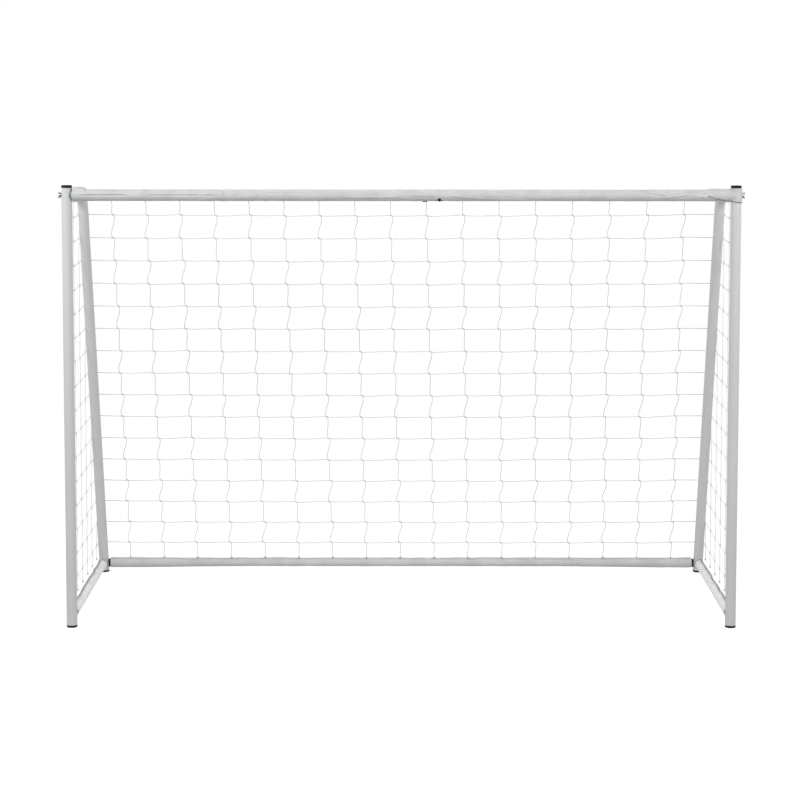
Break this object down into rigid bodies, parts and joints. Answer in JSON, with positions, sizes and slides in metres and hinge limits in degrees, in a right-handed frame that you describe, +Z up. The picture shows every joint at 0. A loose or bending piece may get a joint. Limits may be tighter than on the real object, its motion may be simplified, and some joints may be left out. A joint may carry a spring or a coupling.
{
  "type": "soccer goal frame",
  "caption": "Junior soccer goal: round steel tube frame with sloping back stays, ground bars, wing bolts and a knotted net held by fabric sleeves.",
  "frame": {"origin": "on the ground, at the middle of the goal's width and depth", "axes": "+X along the goal line, +Y back into the goal, +Z up"},
  "size_m": [2.4264, 0.8982, 1.586],
  "materials": {
    "frame_steel": "satin silver-grey powder coat",
    "black_plastic": "matte",
    "zinc_steel": "zinc plated",
    "dark_steel": "black oxide",
    "grey_plastic": "matte",
    "net_cord": "twisted polyethylene cord",
    "sleeve_fabric": "coated woven fabric"
  },
  "bodies": {
    "frame": {"left_post": "frame_steel", "right_post": "frame_steel", "left_post_cap": "black_plastic", "right_post_cap": "black_plastic", "left_post_foot": "black_plastic", "right_post_foot": "black_plastic", "crossbar_left": "frame_steel", "crossbar_right": "frame_steel", "crossbar_joiner": "frame_steel", "left_crossbar_nut_plug": "grey_plastic", "right_crossbar_nut_plug": "grey_plastic", "left_bolt_washer": "zinc_steel", "right_bolt_washer": "zinc_steel", "left_back_stay": "frame_steel", "right_back_stay": "frame_steel", "left_arm_spigot": "frame_steel", "right_arm_spigot": "frame_steel", "left_arm_screw": "zinc_steel", "right_arm_screw": "zinc_steel", "left_stay_foot": "black_plastic", "right_stay_foot": "black_plastic", "left_side_bar": "frame_steel", "right_side_bar": "frame_steel", "left_front_spigot": "frame_steel", "right_front_spigot": "frame_steel", "left_corner_side_spigot": "frame_steel", "right_corner_side_spigot": "frame_steel", "left_corner_rear_spigot": "frame_steel", "right_corner_rear_spigot": "frame_steel", "left_side_screw": "zinc_steel", "right_side_screw": "zinc_steel", "left_corner_collar": "black_plastic", "right_corner_collar": "black_plastic", "rear_bar_left": "frame_steel", "rear_bar_right": "frame_steel", "rear_bar_joiner": "frame_steel", "net_back": "net_cord", "net_roof": "net_cord", "net_left": "net_cord", "net_right": "net_cord", "crossbar_sleeve": "sleeve_fabric", "rear_bar_sleeve": "sleeve_fabric", "left_side_sleeve": "sleeve_fabric", "right_side_sleeve": "sleeve_fabric"},
    "left_bolt": {"left_wing_bolt": "zinc_steel"},
    "right_bolt": {"right_wing_bolt": "zinc_steel"},
    "left_button": {"crossbar_button_left": "dark_steel", "crossbar_spring_left": "zinc_steel"},
    "right_button": {"crossbar_button_right": "dark_steel", "crossbar_spring_right": "zinc_steel"}
  },
  "joints": [
    {"name": "left_bolt_turn", "type": "hinge", "parent": "frame", "child": "left_bolt", "pos_m": [-1.181, -0.42786, 1.551], "axis": [-1, 0, 0], "continuous": true},
    {"name": "right_bolt_turn", "type": "hinge", "parent": "frame", "child": "right_bolt", "pos_m": [1.181, -0.42786, 1.551], "axis": [1, 0, 0], "continuous": true},
    {"name": "left_button_press", "type": "slide", "parent": "frame", "child": "left_button", "axis": [0, 0, 1], "range_m": [0, 0.0054], "stiffness_N_per_m": 1200, "springref_m": -0.002},
    {"name": "right_button_press", "type": "slide", "parent": "frame", "child": "right_button", "axis": [0, 0.682, 0.7314], "range_m": [0, 0.0054], "stiffness_N_per_m": 1200, "springref_m": -0.002}
  ]
}
